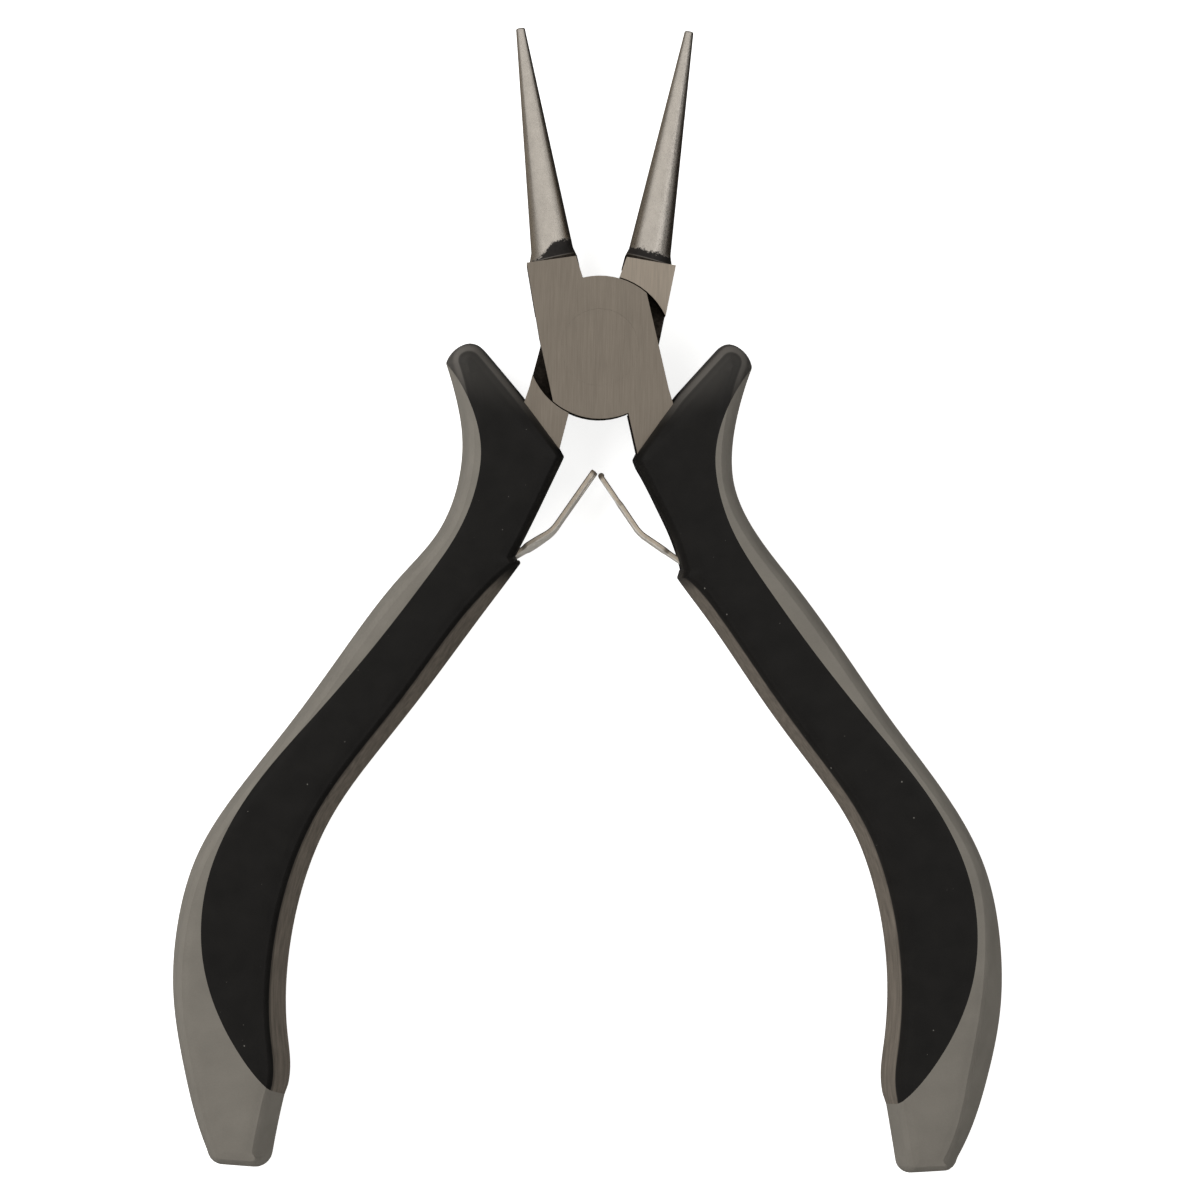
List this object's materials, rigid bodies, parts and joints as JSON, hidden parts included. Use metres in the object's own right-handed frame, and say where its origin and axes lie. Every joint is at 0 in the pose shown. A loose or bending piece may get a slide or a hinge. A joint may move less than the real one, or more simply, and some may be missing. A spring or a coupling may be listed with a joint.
{
  "type": "round nose pliers",
  "caption": "Small lap-joint pliers with tapered round jaws, a double leaf return spring and curved two-colour grips.",
  "frame": {"origin": "on the rivet's axis, at the joint's mid thickness", "axes": "+Z along the rivet out of the front face, +Y towards the jaws along the tool's centre line, +X to the right seen from the front"},
  "size_m": [0.0942, 0.1296, 0.012],
  "materials": {
    "ground_steel": "surface ground, satin jaws",
    "rivet_steel": "ground flush",
    "spring_steel": "bright nickel-plated strip",
    "grey_grip": "matte moulded",
    "black_grip": "matte soft-touch"
  },
  "bodies": {
    "rear_handle": {"rear_half": "ground_steel", "pivot_rivet": "rivet_steel", "left_grip_body": "grey_grip", "left_grip_insert": "black_grip"},
    "front_handle": {"front_half": "ground_steel", "right_grip_body": "grey_grip", "right_grip_insert": "black_grip"},
    "left_leaf": {"left_spring_leaf": "spring_steel"},
    "right_leaf": {"right_spring_leaf": "spring_steel"}
  },
  "joints": [
    {"name": "jaw_pivot", "type": "hinge", "parent": "rear_handle", "child": "front_handle", "pos_m": [0, 0, 0], "axis": [0, 0, 1], "range_deg": [-28, 4], "stiffness_Nm_per_rad": 0.4},
    {"name": "left_spring_flex", "type": "hinge", "parent": "rear_handle", "child": "left_leaf", "pos_m": [-0.01213, -0.02563, 0], "axis": [0, 0, 1], "range_deg": [-2, 13]},
    {"name": "right_spring_flex", "type": "hinge", "parent": "front_handle", "child": "right_leaf", "pos_m": [0.01213, -0.02563, 0], "axis": [0, 0, 1], "range_deg": [-13, 2]}
  ],
  "couplings": [
    {"joint": "left_spring_flex", "follows": "jaw_pivot", "ratio": -0.46},
    {"joint": "right_spring_flex", "follows": "jaw_pivot", "ratio": 0.46}
  ]
}
